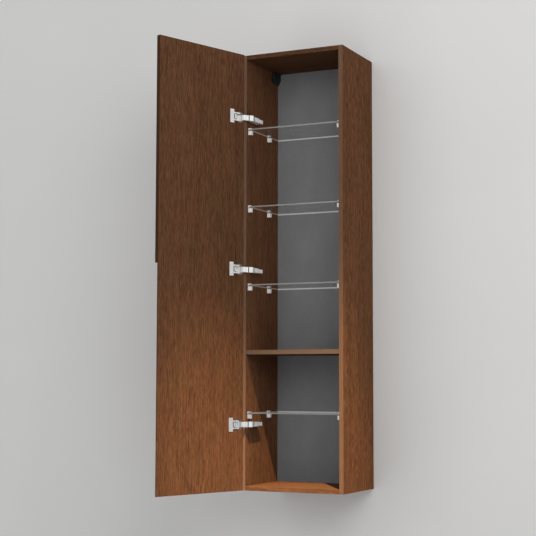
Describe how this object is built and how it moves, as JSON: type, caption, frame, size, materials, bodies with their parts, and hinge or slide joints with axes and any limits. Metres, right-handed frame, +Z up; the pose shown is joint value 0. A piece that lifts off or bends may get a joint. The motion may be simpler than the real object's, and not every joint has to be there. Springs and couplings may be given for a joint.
{
  "type": "tall cabinet",
  "caption": "Tall narrow wall-hung cabinet with a full-height hinged door, clear glass shelves on metal clamps and a fixed wooden shelf.",
  "frame": {"origin": "on the wall plane, at the middle of the bottom panel's lower rear edge", "axes": "+X to the right seen from the front, +Y into the wall, +Z up"},
  "size_m": [0.5358, 0.6946, 1.6],
  "materials": {
    "veneer": "dark walnut veneer, satin lacquer, vertical grain",
    "back_laminate": "plain grey laminate on thin board",
    "shelf_glass": "clear float glass with ground edges",
    "black_plastic": "fine matte moulding",
    "zinc_steel": "zinc plated",
    "satin_metal": "satin chrome",
    "nickel": "bright nickel plating"
  },
  "bodies": {
    "carcass": {"left_side_panel": "veneer", "right_side_panel": "veneer", "top_panel": "veneer", "bottom_panel": "veneer", "fixed_shelf": "veneer", "back_panel": "back_laminate", "glass_shelf_1": "shelf_glass", "glass_shelf_2": "shelf_glass", "glass_shelf_3": "shelf_glass", "glass_shelf_4": "shelf_glass", "shelf_supports_1": "satin_metal", "shelf_supports_2": "satin_metal", "shelf_supports_3": "satin_metal", "shelf_supports_4": "satin_metal", "top_hinge_arm": "nickel", "middle_hinge_arm": "nickel", "bottom_hinge_arm": "nickel", "top_mounting_plate": "nickel", "middle_mounting_plate": "nickel", "bottom_mounting_plate": "nickel", "left_hanger_housing": "black_plastic", "left_hanger_hook": "zinc_steel", "left_wall_plate": "zinc_steel", "right_hanger_housing": "black_plastic", "right_hanger_hook": "zinc_steel", "right_wall_plate": "zinc_steel"},
    "hinge_links": {"top_hinge_link": "nickel", "middle_hinge_link": "nickel", "bottom_hinge_link": "nickel"},
    "door": {"door_panel": "veneer", "top_hinge_cup": "nickel", "middle_hinge_cup": "nickel", "bottom_hinge_cup": "nickel"}
  },
  "joints": [
    {"name": "link_swing", "type": "hinge", "parent": "carcass", "child": "hinge_links", "pos_m": [-0.1729, -0.30216, 0.8], "axis": [0, 0, 1], "range_deg": [-57.9, 0]},
    {"name": "door_swing", "type": "hinge", "parent": "hinge_links", "child": "door", "pos_m": [-0.18856, -0.31546, 0.8], "axis": [0, 0, 1], "range_deg": [0, 167.3]}
  ],
  "couplings": [
    {"joint": "link_swing", "follows": "door_swing", "ratio": -0.34549}
  ]
}
